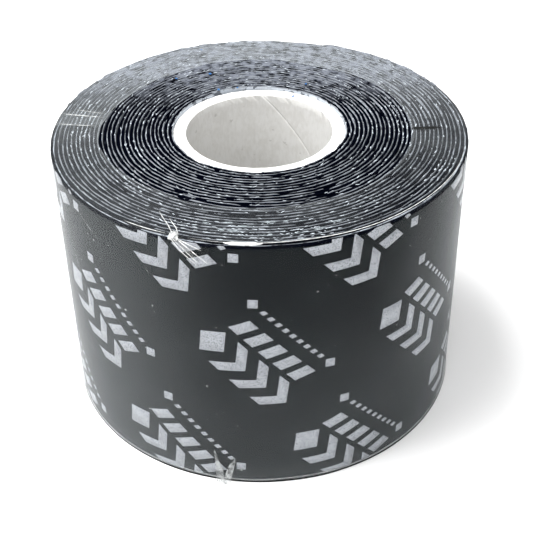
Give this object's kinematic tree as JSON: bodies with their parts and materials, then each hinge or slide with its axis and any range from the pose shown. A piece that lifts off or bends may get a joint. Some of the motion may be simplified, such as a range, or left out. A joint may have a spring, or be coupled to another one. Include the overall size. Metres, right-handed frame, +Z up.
{
  "type": "grip tape roll",
  "caption": "Roll of wide black lined grip tape wound on a white spiral paper core, held by a clear film band shrunk over both rims.",
  "frame": {"origin": "bottom centre of the roll, on its axis, where the film's lower lip rests", "axes": "+Z up along the roll's axis; -Y faces the viewer, and the tape's free end is at the back"},
  "size_m": [0.0732, 0.0732, 0.0512],
  "materials": {
    "grip_tape": "satin",
    "release_paper": "satin",
    "clear_film": "gloss",
    "core_face_paper": "matte",
    "core_board": "matte"
  },
  "bodies": {
    "root": {"tape_web": "grip_tape", "release_liner": "release_paper", "shrink_band": "clear_film", "core_inner_ply": "core_face_paper", "core_body_ply_1": "core_board", "core_body_ply_2": "core_board", "core_body_ply_3": "core_board", "core_outer_ply": "core_face_paper"}
  },
  "joints": []
}
